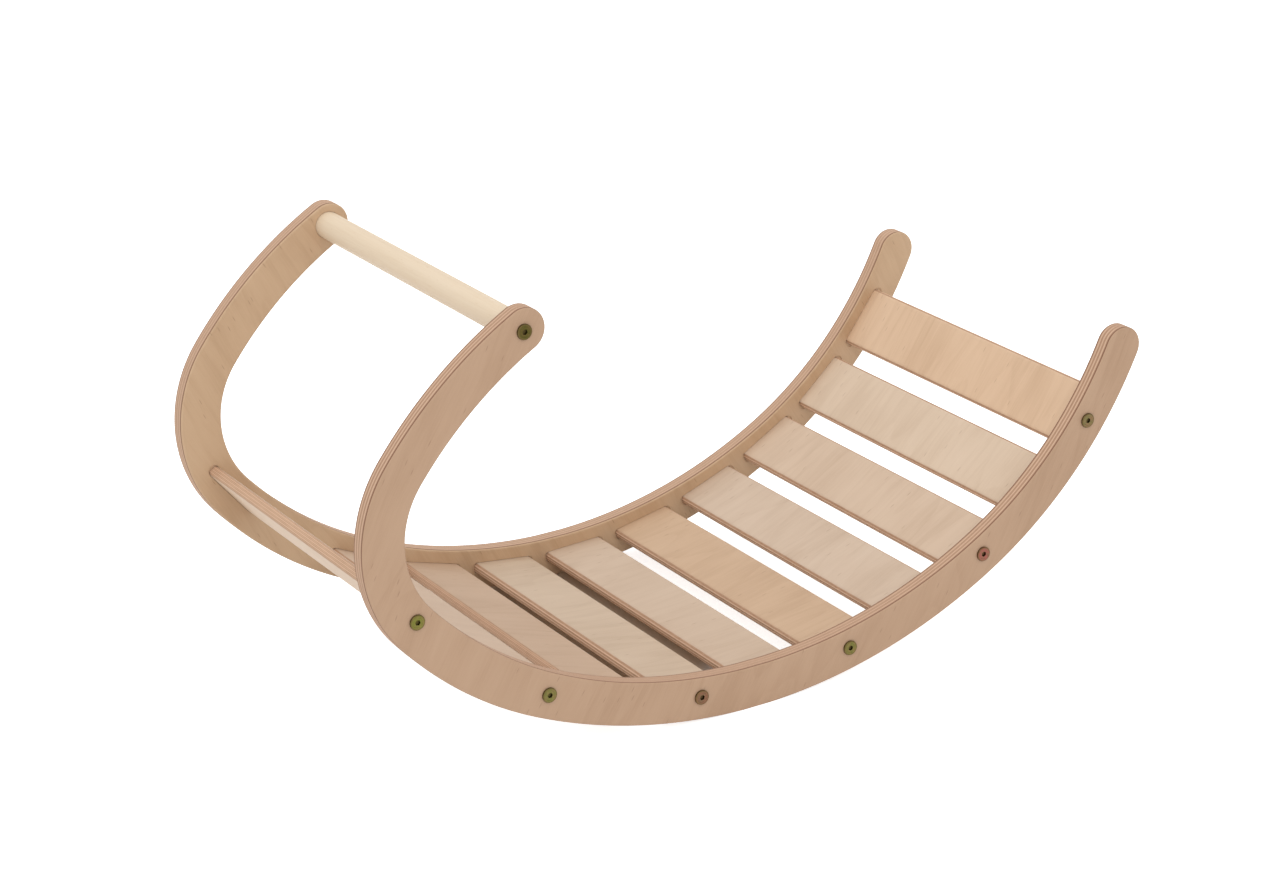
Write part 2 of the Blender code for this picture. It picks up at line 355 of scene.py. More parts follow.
@dataclass(frozen=True)
class PlywoodFinish:
    """Clear matt lacquer on birch plywood: veneered faces, and edges that show the plies.

    A Step holds where a smooth step is zero and where it reaches one. Depths are counted in plies.
    """

    name: str
    tone: Colour
    long_ply: Colour
    end_ply: Colour
    glue: Colour
    thickness: float
    plies: int
    shift: float
    figure: float = 1.0
    sanded: float = 0.4
    skin_line: float = 0.18
    ply_contrast: float = 0.9
    lay_shown: float = 0.15

    dark_share: Triple = (0.80, 0.75, 0.70)
    light_share: Triple = (1.12, 1.16, 1.20)
    tone_stops: Triple = (0.24, 0.5, 0.78)
    sway: Figure = Figure((6.0, 10.0, 3.0), 2.0, 0.5, 3.1, 0.024)
    growth: Figure = Figure((3.2, 15.0, 3.0), 1.0, 0.4, 5.6)
    streak: Figure = Figure((9.0, 80.0, 3.0), 4.0, 0.6, 0.0, 0.30)
    cloud: Figure = Figure((9.0, 16.0, 3.0), 2.0, 0.5, 7.7, 0.34)
    hair: Figure = Figure((30.0, 800.0, 3.0), 3.0, 0.6, 1.3, 0.20)
    rings: float = 9.0
    late_begins: Step = (0.45, 0.94)
    late_ends: Step = (1.0, 0.94)
    late_least: float = 0.2
    late_strength: float = 0.07
    pore_cells: Triple = (30.0, 210.0, 1.0)
    pore_size: Step = (0.13, 0.04)
    pore_rarity: float = 0.78
    pore_strength: float = 0.34
    grain_relief: float = 0.5
    pore_relief: float = 0.4

    wave: Figure = Figure((22.0, 22.0, 22.0), 2.0, 0.5, 5.0, 0.06)
    fibre: Figure = Figure((240.0, 240.0, 900.0), 3.0, 0.6, 9.0, 0.8)
    patchy_glue: Figure = Figure((60.0, 60.0, 300.0), 2.0, 0.5, 2.0, 0.8)
    glue_least: float = 0.15
    glue_millimetres: Step = (0.34, 0.06)
    cross_ply: Step = (0.44, 0.26)
    skin_depth: Step = (1.80, 1.30)
    edge_depth: Step = (0.90, 0.97)

    roughness: float = 0.56
    rougher_relief: float = 0.12
    rougher_edge: float = 0.14

    def material(self, lay: Lay) -> Material:
        """Material of the pieces that are cut that way.

        Args:
            lay: How the piece was cut from its sheet.

        Returns:
            The new material.
        """
        material, bench = Bench.for_material(self.name)
        seat = bench.add("ShaderNodeTexCoord", output="Object")
        normal = bench.add("ShaderNodeTexCoord", output="Normal")
        axes = {"X": bench.along(seat, lay.grain), "Y": bench.along(seat, lay.across)}
        axes["Z"] = bench.along(seat, lay.depth)
        place = bench.add("ShaderNodeCombineXYZ", None, axes)
        veneer, relief = self._veneer(bench, place)
        edge, shown = self._edge(bench, place, normal, lay)
        sockets = {
            "Base Color": bench.blend(shown, veneer, edge),
            "Roughness": self.roughness + relief.swing(self.rougher_relief) + self.rougher_edge * shown,
            "IOR": 1.46,
            "Specular IOR Level": 0.4,
        }
        bench.surface(sockets, {"Strength": 0.35, "Distance": 0.0002, "Height": relief})
        return material

    def _veneer(self, bench: Bench, place: Value) -> tuple[Value, Value]:
        """Peeled face veneer: contour-like growth lines, soft streaks, hairlines and a few pores.

        Args:
            bench: Where its nodes go.
            place: Metres along the grain, across it and through the plies.

        Returns:
            The colour and the relief.
        """
        sway = bench.noise(place, self.sway, self.shift).swing(self.sway.strength)
        swayed = bench.vector("ADD", place, bench.add("ShaderNodeCombineXYZ", None, {"Y": sway}))
        ring = (bench.noise(swayed, self.growth, self.shift) * self.rings) % 1.0
        streak = bench.noise(swayed, self.streak, self.shift)
        cloud = bench.noise(swayed, self.cloud, self.shift)
        hair = bench.noise(swayed, self.hair, self.shift)
        late = ring.rise(*self.late_begins) * ring.rise(*self.late_ends)
        tone = streak.swing(self.streak.strength) + cloud.swing(self.cloud.strength)
        tone = tone + hair.swing(self.hair.strength)
        tone = tone - self.late_strength * late * (self.late_least + streak)
        tones = (scaled(self.tone, self.dark_share), self.tone, scaled(self.tone, self.light_share))
        colour = bench.ramp(self.figure * tone, self.tone_stops, tones)
        sockets = {"Vector": bench.vector("MULTIPLY", swayed, self.pore_cells), "Scale": 1.0}
        near = bench.add("ShaderNodeTexVoronoi", {"voronoi_dimensions": "2D"}, sockets, "Distance")
        pick = bench.add("ShaderNodeTexVoronoi", {"voronoi_dimensions": "2D"}, sockets, "Color")
        pore = near.rise(*self.pore_size) * (pick > self.pore_rarity)
        colour = bench.blend(self.pore_strength * pore, colour, self.glue)
        return colour, self.grain_relief * hair + self.grain_relief * streak - self.pore_relief * pore

    def _edge(self, bench: Bench, place: Value, normal: Value, lay: Lay) -> tuple[Value, Value]:
        """Sawn edge: plies with their grain along and across in turn, and glue lines between them.

        Args:
            bench: Where its nodes go.
            place: Metres along the grain, across it and through the plies.
            normal: The surface's normal.
            lay: How the piece was cut from its sheet.

        Returns:
            The colour, and the share of it that shows.
        """
        ply = self.thickness / (self.plies - 2 * self.sanded)
        wave = bench.noise(place, self.wave, self.shift).swing(self.wave.strength)
        depth = (bench.along(place, (0.0, 0.0, 1.0)) - lay.start) / ply + self.sanded + wave
        # Plies lie in pairs, one along the face grain and one across it, which is centred on 1.5.
        crossed = abs(depth % 2.0 - 1.5).rise(*self.cross_ply)
        grain_end = bench.along(normal, lay.grain) ** 2.0
        cross_end = bench.along(normal, lay.across) ** 2.0
        cut = grain_end + crossed * (cross_end - grain_end)
        end = self.lay_shown * cut + (1.0 - self.lay_shown) * crossed
        fibre = bench.noise(place, self.fibre, self.shift).swing(self.fibre.strength)
        colour = bench.blend(end * self.ply_contrast * (1.0 + fibre), self.long_ply, self.end_ply)
        # A glue line lies at every whole depth.
        border = abs((depth + 0.5) % 1.0 - 0.5) * (ply / MILLIMETRE)
        patch = self.patchy_glue.strength * bench.noise(place, self.patchy_glue, self.shift)
        glued = border.rise(*self.glue_millimetres) * (self.glue_least + patch)
        colour = bench.blend(glued, colour, self.glue)
        into = bench.maths("MINIMUM", depth, self.plies - depth)
        colour = bench.blend(self.skin_line * into.rise(*self.skin_depth), colour, self.glue)
        return colour, into.rise(*self.edge_depth)


@dataclass(frozen=True)
class DowelFinish:
    """Clear matt lacquer on a turned dowel of pale, straight-grained wood, which runs along Y."""

    name: str = "handle_beech"
    tones: tuple[Colour, Colour, Colour] = (
        screen(212, 188, 157),
        screen(222, 202, 175),
        screen(229, 212, 188),
    )
    tone_stops: Triple = (0.28, 0.5, 0.74)
    ray: Colour = screen(196, 160, 116)
    streak: Figure = Figure((120.0, 4.0, 120.0), 2.0, 0.5, 0.0, 0.32)
    hair: Figure = Figure((900.0, 24.0, 900.0), 2.0, 0.6, 4.0, 0.25)
    fleck: Figure = Figure((700.0, 120.0, 700.0), 1.0, 0.5, 8.0, 0.2)
    fleck_edge: Step = (0.68, 0.76)
    roughness: float = 0.5
    rougher_hair: float = 0.15

    def material(self) -> Material:
        """Makes the material.

        Returns:
            The new material.
        """
        material, bench = Bench.for_material(self.name)
        place = bench.add("ShaderNodeTexCoord", output="Object")
        streak = bench.noise(place, self.streak)
        hair = bench.noise(place, self.hair)
        tone = streak.swing(self.streak.strength) + hair.swing(self.hair.strength)
        colour = bench.ramp(tone, self.tone_stops, self.tones)
        fleck = bench.noise(place, self.fleck).rise(*self.fleck_edge)
        sockets = {
            "Base Color": bench.blend(self.fleck.strength * fleck, colour, self.ray),
            "Roughness": self.roughness + hair.swing(self.rougher_hair),
            "IOR": 1.46,
        }
        bench.surface(sockets, {"Strength": 0.3, "Distance": 0.0002, "Height": hair})
        return material


@dataclass(frozen=True)
class PlatedFinish:
    """Yellow passivated zinc on a turned screw head, whose hue wanders from screw to screw."""

    name: str
    hue: Colour
    stray: Colour
    shift: float
    # Painted shade: a darker ring round the head's eased edge.
    rim: Colour = screen(96, 80, 46)
    rim_shade_strength: float = 0.7
    rim_shade_edge: Step = (0.80, 0.98)
    rim_shade_wander: Figure = Figure((420.0, 420.0, 420.0), 2.0, 0.5, 4.0, 0.12)
    # Painted shade: a dark colour laid into the six-sided socket below the dish's floor.
    painted_socket_shade: Colour = screen(62, 50, 22)
    painted_socket_shade_strength: float = 0.85
    painted_socket_shade_radius: Step = (0.5, 0.4)
    painted_socket_shade_fade: float = 0.0006
    film: Figure = Figure((260.0, 260.0, 260.0), 3.0, 0.6)
    film_edge: Step = (0.38, 0.68)
    scratch: Figure = Figure((900.0, 900.0, 900.0), 2.0, 0.6, 0.0, 0.5)
    grooves: float = 11.0
    roughness: float = 0.34
    rougher_scratch: float = 0.2

    def material(self, head_radius: float, floor: float) -> Material:
        """Material of one screw, whose axis is its own Z.

        Args:
            head_radius: The radius of the screw's head, in metres.
            floor: Height of the dish's floor, below which its socket gets a painted dark shade.

        Returns:
            The new material.
        """
        material, bench = Bench.for_material(self.name)
        place = bench.add("ShaderNodeTexCoord", output="Object")
        flat = bench.vector("MULTIPLY", place, (1.0, 1.0, 0.0))
        radius = bench.vector("LENGTH", flat, output="Value") / head_radius
        film = bench.noise(place, self.film, self.shift)
        colour = bench.blend(film.rise(*self.film_edge), self.hue, self.stray)
        # Darkens a ring near the head's edge as painted shade; the noise makes its inner border wander.
        ring = bench.noise(place, self.rim_shade_wander, self.shift) * self.rim_shade_wander.strength + radius
        colour = bench.blend(self.rim_shade_strength * ring.rise(*self.rim_shade_edge), colour, self.rim)
        # Painted shade in the socket: darkens the colour below the dish's floor, inside the socket's
        # radius.
        painted_socket_shade_mask = bench.along(place, (0.0, 0.0, 1.0)).rise(floor, floor - self.painted_socket_shade_fade)
        painted_socket_shade_mask = painted_socket_shade_mask * radius.rise(*self.painted_socket_shade_radius)
        scratch = bench.noise(place, self.scratch, self.shift)
        groove = abs((radius * self.grooves) % 1.0 - 0.5)
        sockets = {
            "Base Color": bench.blend(self.painted_socket_shade_strength * painted_socket_shade_mask, colour, self.painted_socket_shade),
            "Metallic": 0.85,
            "Roughness": self.roughness + scratch.swing(self.rougher_scratch),
        }
        height = groove + self.scratch.strength * scratch
        bench.surface(sockets, {"Strength": 0.25, "Distance": 0.0001, "Height": height})
        return material


class Side(Enum):
    """The two halves of the rocker, by the sign of their Y."""

    NEAR = -1
    FAR = 1

    @property
    def word(self) -> str:
        """The half's name in the CAD nodes."""
        return self.name.lower()


@dataclass(frozen=True)
class Edge:
    """A point of the side board's outline, in X and Z, and its outward normal."""

    point: Vector
    normal: Vector


@dataclass(frozen=True)
class Arc:
    """Part of the rocking edge: its radius, and the angle that it turns through."""

    radius: float
    turn: float


def heading_vector(heading: float) -> Vector:
    """Unit vector along the edge, in X and Z."""
    return Vector((math.cos(heading), math.sin(heading)))


def inward_vector(heading: float) -> Vector:
    """Unit vector from the rocking edge to the inner edge, in X and Z."""
    return Vector((-math.sin(heading), math.cos(heading)))


@dataclass
class RockerPlan:
    """Side view of the rocker: the boards' outline and the places of the slats and the handle."""

    ahead: tuple[Arc, ...] = (Arc(0.5696, math.radians(29.182)), Arc(0.4460, math.radians(35.15)))
    behind: tuple[Arc, ...] = (
        Arc(0.5696, math.radians(25.218)),
        Arc(0.4057, math.radians(24.65)),
        Arc(0.1421, math.radians(77.6)),
        Arc(0.4379, math.radians(23.4)),
    )
    board_width: float = 0.0420
    heel_swell: float = 0.0045
    seat_swell: float = 0.0015
    heel_setback: float = 0.0596
    seat_setback: float = 0.1198
    rest_facet: float = 0.030
    ramp_slats: int = 9
    slats_left_out: int = 1
    slat_pitch: float = 0.08673
    slat_inset: float = 0.02394
    front_setback: float = 0.08134
    step_sink: float = 0.0038
    step_twist: float = math.radians(2.2)
    handle_setback: float = 0.0015
    screwed_slats: tuple[int, ...] = (1, 3, 5, 7, 9, 10)
    finest: float = math.radians(0.75)
    tip_steps: int = 36
    cad_finest: tuple[float, ...] = tuple(math.radians(turn) for turn in (3.0, 3.0, 5.0, 3.0))
    cad_tip_steps: int = 12
    shift: Vector = field(init=False)

    def __post_init__(self) -> None:
        """Finds the shift that puts the CAD's outline on the floor, with its middle at x = 0."""
        self.shift = Vector((0.0, 0.0))
        points = [edge.point for edge in self.outline(self.cad_finest, self.cad_tip_steps)]
        xs = [point.x for point in points]
        self.shift = Vector((-(min(xs) + max(xs)) / 2, -min(point.y for point in points)))

    @staticmethod
    def length_of(arcs: Sequence[Arc], inset: float = 0.0) -> float:
        """Length of a run of arcs, or of the line at that inset from them."""
        return sum((arc.radius - inset) * arc.turn for arc in arcs)

    def edge_at(self, distance: float, inset: float = 0.0) -> tuple[Vector, float]:
        """Place on the rocking edge, or on the line at that inset from it.

        Args:
            distance: Signed length along the line, from above the floor contact.
            inset: How far inside the rocking edge the line runs.

        Returns:
            The point in X and Z, and the heading there.
        """
        side = 1 if distance >= 0 else -1
        left = abs(distance)
        point = Vector((0.0, inset))
        heading = 0.0
        for arc in self.ahead if side > 0 else self.behind:
            radius = arc.radius - inset
            step = min(left / radius, arc.turn)
            turned = heading + side * step
            along = math.sin(turned) - math.sin(heading)
            up = math.cos(heading) - math.cos(turned)
            point += radius * Vector((along, up))
            heading = turned
            left -= step * radius
            if left <= 0:
                break
        return point + self.shift, heading

    def width_at(self, distance: float) -> float:
        """Width of the board, which swells smoothly at the heel and a little under the seat.

        Args:
            distance: Signed length along the rocking edge.

        Returns:
            The width.
        """
        swells = (
            (-self.length_of(self.behind[:3]), 0.0),
            (-self.length_of(self.behind[:2]) + self.heel_setback, self.heel_swell),
            (-self.length_of(self.behind[:1]) + self.seat_setback, self.seat_swell),
            (self.length_of(self.ahead), 0.0),
        )
        swell = 0.0
        for (start, low), (end, high) in zip(swells, swells[1:]):
            if start <= distance <= end:
                share = (distance - start) / (end - start)
                swell = low + (high - low) * share * share * (3 - 2 * share)
        return self.board_width + swell

    def stations(self, arcs: Sequence[Arc], finest: Sequence[float]) -> list[float]:
        """Distances of the outline's points from the floor contact, on one side of it.

        Args:
            arcs: The arcs of that side.
            finest: The largest turn between two points, for each arc.

        Returns:
            The distances, in order.
        """
        found = [self.rest_facet / 2]
        end = 0.0
        for arc, turn in zip(arcs, finest):
            start = max(end, found[-1])
            end += arc.radius * arc.turn
            steps = max(1, math.ceil((end - start) / (arc.radius * turn)))
            found += [start + (end - start) * step / steps for step in range(1, steps + 1)]
        return found

    def tip(self, distance: float, start: float, steps: int) -> list[Edge]:
        """Half circle that rounds the board's tip, without its two ends.

        Args:
            distance: Where on the rocking edge the tip is.
            start: Angle from the heading to the half circle's beginning.
            steps: How many parts it has.

        Returns:
            The edge's points, in order.
        """
        point, heading = self.edge_at(distance)
        radius = self.width_at(distance) / 2
        centre = point + radius * inward_vector(heading)
        found = []
        for step in range(1, steps):
            normal = heading_vector(heading + start + math.pi * step / steps)
            found.append(Edge(centre + radius * normal, normal))
        return found

    def outline(self, finest: Sequence[float], tip_steps: int) -> list[Edge]:
        """Outline of a side board: rocking edge, ramp tip, inner edge, hook tip.

        Args:
            finest: The largest turn between two points, for each arc.
            tip_steps: How many parts each half-round tip has.

        Returns:
            The edge's points, in order.
        """
        behind = [-station for station in reversed(self.stations(self.behind, finest))]
        outer = []
        inner = []
        for distance in behind + self.stations(self.ahead, finest):
            point, heading = self.edge_at(distance)
            inward = inward_vector(heading)
            outer.append(Edge(point, -inward))
            inner.append(Edge(point + self.width_at(distance) * inward, inward))
        ramp_tip = self.tip(self.length_of(self.ahead), -QUARTER_TURN, tip_steps)
        hook_tip = self.tip(-self.length_of(self.behind), QUARTER_TURN, tip_steps)
        return outer + ramp_tip + inner[::-1] + hook_tip

    def board_outline(self) -> list[Edge]:
        """Fine outline of a side board."""
        return self.outline([self.finest] * len(self.behind), self.tip_steps)

    def slat_places(self) -> list[tuple[Vector, float]]:
        """Finds the slats, from the ramp tip to the step below the hook.

        Returns:
            The centre and tilt of each slat's section.
        """
        front = self.length_of(self.ahead, self.slat_inset) - self.front_setback
        places = []
        for index in range(self.ramp_slats):
            places.append(self.edge_at(front - index * self.slat_pitch, self.slat_inset))
        behind = front - (self.ramp_slats + self.slats_left_out) * self.slat_pitch
        point, heading = self.edge_at(behind, self.slat_inset)
        places.append((point + self.step_sink * inward_vector(heading), heading + self.step_twist))
        return places

    def handle_place(self) -> Vector:
        """Finds the handle's axis, in the middle of the board and a little back from the hook's tip.

        Returns:
            The axis in X and Z.
        """
        distance = self.handle_setback - self.length_of(self.behind)
        point, heading = self.edge_at(distance)
        return point + self.width_at(distance) / 2 * inward_vector(heading)

    def screw_places(self) -> dict[str, Vector]:
        """Finds the screws of one board.

        Returns:
            Where in X and Z each screw is, by what it holds.
        """
        slats = self.slat_places()
        places = {f"slat_{number:02d}": slats[number - 1][0] for number in self.screwed_slats}
        return {**places, "handle": self.handle_place()}


@dataclass(frozen=True)
class SlatSection:
    """Section of a slat, with rounded arrises, about its own middle."""

    width: float = 0.067
    thickness: float = 0.0115
    arris: float = 0.0045
    arris_steps: int = 8

    def outline(self, spare: float = 0.0, land: float = 0.0) -> list[Vector]:
        """Points round the section, from the end of its width.

        Args:
            spare: How far outside the slat the outline runs.
            land: Width of a strip beside each arris that keeps the shading of the flats flat.

        Returns:
            The points, in order.
        """
        points = []
        for quarter, (right, up) in enumerate(((1, 1), (-1, 1), (-1, -1), (1, -1))):
            centre = Vector((right * (self.width / 2 - self.arris), up * (self.thickness / 2 - self.arris)))
            turned = QUARTER_TURN * quarter
            arc = []
            for step in range(self.arris_steps + 1):
                angle = turned + QUARTER_TURN * step / self.arris_steps
                arc.append(centre + (self.arris + spare) * heading_vector(angle))
            if land:
                arc.insert(0, arc[0] - land * heading_vector(turned + QUARTER_TURN))
                arc.append(arc[-1] - land * heading_vector(turned))
            points += arc
        return points


class Workshop:
    """Mesh helpers that more than one sub-assembly uses."""

    SHARP = math.radians(35.0)

    @classmethod
    def piece(cls, name: str, mesh: Mesh) -> bpy.types.Object:
        """Object with that mesh, smooth except at its sharp edges.

        Args:
            name: The object's name.
            mesh: Its shape, which is used up.

        Returns:
            The object, linked to the scene.
        """
        bmesh.ops.recalc_face_normals(mesh, faces=mesh.faces)
        data = bpy.data.meshes.new(name)
        mesh.to_mesh(data)
        mesh.free()
        data.shade_smooth()
        data.set_sharp_from_angle(angle=cls.SHARP)
        made = bpy.data.objects.new(name, data)
        bpy.context.scene.collection.objects.link(made)
        return made

    @staticmethod
    def ring(mesh: Mesh, points: Sequence[Vector], y: float) -> list[bmesh.types.BMVert]:
        """Vertices at points in X and Z, at that Y."""
        return [mesh.verts.new((point.x, y, point.y)) for point in points]

    @staticmethod
    def bridge(mesh: Mesh, rings: Sequence[Sequence[bmesh.types.BMVert]]) -> None:
        """Joins each closed ring of vertices to the next by a band of faces.

        Args:
            mesh: The mesh that holds them.
            rings: The rings, in order, each with as many vertices.
        """
        for first, second in zip(rings, rings[1:]):
            for index in range(len(first)):
                after = (index + 1) % len(first)
                mesh.faces.new((first[index], first[after], second[after], second[index]))

    @classmethod
    def prism(cls, mesh: Mesh, outline: Sequence[Vector], low: float, high: float) -> None:
        """Adds a closed prism that stands along Y.

        Args:
            mesh: The mesh that it is added to.
            outline: Its base, in X and Z.
            low: Y of its base.
            high: Y of its top.
        """
        base = mesh.faces.new(cls.ring(mesh, outline, low))
        top = bmesh.ops.extrude_face_region(mesh, geom=[base])
        moved = [element for element in top["geom"] if isinstance(element, bmesh.types.BMVert)]
        bmesh.ops.translate(mesh, vec=(0.0, high - low, 0.0), verts=moved)

    @staticmethod
    def circle(centre: Vector, radius: float, sides: int) -> list[Vector]:
        """Points of a circle in X and Z."""
        turn = 2 * math.pi / sides
        return [centre + radius * heading_vector(turn * step) for step in range(sides)]

    @classmethod
    def cut(cls, piece: bpy.types.Object, cutter: Mesh) -> None:
        """Cuts a shape out of the piece for good.

        Args:
            piece: What is cut.
            cutter: The shape, which is used up.
        """
        tool = cls.piece(piece.name + "_cutter", cutter)
        boolean = piece.modifiers.new("cut", "BOOLEAN")
        boolean.operation = "DIFFERENCE"
        boolean.solver = "EXACT"
        boolean.object = tool
        graph = bpy.context.evaluated_depsgraph_get()
        graph.update()
        data = bpy.data.meshes.new_from_object(piece.evaluated_get(graph))
        piece.modifiers.clear()
        old = piece.data
        piece.data = data
        data.name = old.name
        data.set_sharp_from_angle(angle=cls.SHARP)
        bpy.data.meshes.remove(old)
        bpy.data.objects.remove(tool)

    @staticmethod
    def hand_over(piece: bpy.types.Object, material: Material, node: str, slot: str) -> None:
        """Gives a piece its material and puts it in the place of its CAD node.

        Args:
            piece: The finished piece.
            material: Its material.
            node: The CAD node that it stands for.
            slot: The record's material slot of its finish; not used.
        """
        piece.data.materials.clear()
        piece.data.materials.append(material)
        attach(piece, BODY)
        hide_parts(node)
        LOG.info("%s stands for %s, %d faces", piece.name, node, len(piece.data.polygons))


@dataclass(frozen=True)
class BoardLook:
    """What sets one side board apart: the angle of its grain, its colour and how its plies show."""

    grain: float
    tone: Colour
    ply_contrast: float
    lay_shown: float
    shift: float


@dataclass
class SideBoard:
    """A hooked plywood board, with a pocket for each slat and a socket for the handle."""

    plan: RockerPlan
    slat: SlatSection
    side: Side
    inner_face: float = 0.187
    thickness: float = 0.018
    arris: float = 0.002
    arris_steps: int = 6
    land: float = 0.0005
    pocket_setback: float = 0.003
    pocket_depth: float = 0.006
    pocket_ledge: float = 0.001
    pocket_end_steps: int = 24
    handle_radius: float = 0.0135
    handle_sides: int = 96
    bore_radius: float = 0.0033
    bore_sides: int = 24
    clearance: float = 0.0003
    cut_past: float = 0.002
    plies: int = 9
    long_ply: Colour = screen(206, 172, 144)
    end_ply: Colour = screen(146, 102, 76)
    glue: Colour = screen(110, 72, 50)
    skin_line: float = 0.75
    looks: Mapping[Side, BoardLook] = field(
        default_factory=lambda: {
            Side.NEAR: BoardLook(math.radians(60.0), screen(180, 148, 121), 0.7, 0.5, 11.0),
            Side.FAR: BoardLook(math.radians(118.0), screen(193, 162, 130), 0.5, 0.2, 23.0),
        }
    )

    def build(self) -> None:
        """Builds and dresses the board."""
        board = Workshop.piece(f"birch_board_{self.side.word}", self._blank())
        self._cut(board, self._pockets(), self.pocket_depth)
        self._cut(board, self._ledges(), self.pocket_ledge)
        self._cut(board, self._bores(), self.thickness + self.cut_past)
        look = self.looks[self.side]
        finish = PlywoodFinish(
            name=f"board_birch_{self.side.word}",
            tone=look.tone,
            long_ply=self.long_ply,
            end_ply=self.end_ply,
            glue=self.glue,
            thickness=self.thickness,
            plies=self.plies,
            shift=look.shift,
            skin_line=self.skin_line,
            ply_contrast=look.ply_contrast,
            lay_shown=look.lay_shown,
        )
        start = min(self._y_at(0.0), self._y_at(self.thickness))
        material = finish.material(Lay.upright(look.grain, start))
        Workshop.hand_over(board, material, f"side_board_{self.side.word}", "board_birch")

    def _y_at(self, depth: float) -> float:
        """Y at that depth below the board's inner face."""
        return self.side.value * (self.inner_face + depth)

    def _section(self) -> list[tuple[float, float]]:
        """Section of the rim, from the inner face round to the outer face.

        Returns:
            The inset from the outline and the Y of each point.
        """
        quarter = []
        for step in range(self.arris_steps + 1):
            angle = QUARTER_TURN * step / self.arris_steps
            inset = self.arris * (1 - math.sin(angle))
            quarter.append((inset, self.arris * (1 - math.cos(angle))))
        inner = [(self.arris + self.land, 0.0), *quarter, (0.0, self.arris + self.land)]
        outer = [(inset, self.thickness - depth) for inset, depth in reversed(inner)]
        return [(inset, self._y_at(depth)) for inset, depth in inner + outer]

    def _blank(self) -> Mesh:
        """Board with rounded arrises, before its pockets and holes are cut.

        Returns:
            The closed mesh.
        """
        outline = self.plan.board_outline()
        mesh = bmesh.new()
        rings = []
        for inset, y in self._section():
            rings.append(Workshop.ring(mesh, [edge.point - inset * edge.normal for edge in outline], y))
        Workshop.bridge(mesh, rings)
        # Each face is a row of four-sided panels between its two edges, and a fan at either tip.
        tip = self.plan.tip_steps - 1
        run = (len(outline) - 2 * tip) // 2
        for ring in (rings[0], rings[-1]):
            inner = ring[run + tip : 2 * run + tip][::-1]
            for index in range(run - 1):
                mesh.faces.new((ring[index], ring[index + 1], inner[index + 1], inner[index]))
            mesh.faces.new(ring[run - 1 : run + tip + 1])
            mesh.faces.new([*ring[2 * run + tip - 1 :], ring[0]])
        return mesh

    def _cut(self, board: bpy.types.Object, outlines: Sequence[Sequence[Vector]], depth: float) -> None:
        """Cuts prisms out of the board, from just inside its inner face.

        Args:
            board: The board.
            outlines: The prisms' outlines, in X and Z.
            depth: How far below the inner face they reach.
        """
        cutter = bmesh.new()
        ends = sorted((self._y_at(-self.cut_past), self._y_at(depth)))
        for outline in outlines:
            Workshop.prism(cutter, outline, *ends)
        Workshop.cut(board, cutter)

    def _pockets(self) -> list[list[Vector]]:
        """Seats that hold the slats' ends, and the handle's socket.

        Returns:
            Their outlines, in X and Z.
        """
        section = self.slat.outline(spare=self.clearance)
        outlines = []
        for place, tilt in self.plan.slat_places():
            turn = Matrix.Rotation(tilt, 2)
            outlines.append([place + turn @ point for point in section])
        radius = self.handle_radius + self.clearance
        outlines.append(Workshop.circle(self.plan.handle_place(), radius, self.handle_sides))
        return outlines

    def _ledges(self) -> list[list[Vector]]:
        """Round-ended rims of the slats' pockets, whose ends stop at a shallow ledge.

        Returns:
            Their outlines, in X and Z.
        """
        radius = self.slat.thickness / 2 + self.clearance
        reach = self.slat.width / 2 - self.pocket_setback
        outlines = []
        for place, tilt in self.plan.slat_places():
            points = []
            for end in (1, -1):
                centre = place + end * reach * heading_vector(tilt)
                for step in range(self.pocket_end_steps + 1):
                    angle = tilt - end * QUARTER_TURN + math.pi * step / self.pocket_end_steps
                    points.append(centre + radius * heading_vector(angle))
            outlines.append(points)
        return outlines

    def _bores(self) -> list[list[Vector]]:
        """Outlines of the screws' holes, in X and Z."""
        places = self.plan.screw_places().values()
        return [Workshop.circle(place, self.bore_radius, self.bore_sides) for place in places]


@dataclass(frozen=True)
class SlatLook:
    """What sets one slat apart: its colour, which is partly its own tone and partly painted shade, how
    strong its figure is and how its plies show.
    """

    tone: Colour
    figure: float = 1.0
    plies_shown: float = 0.9


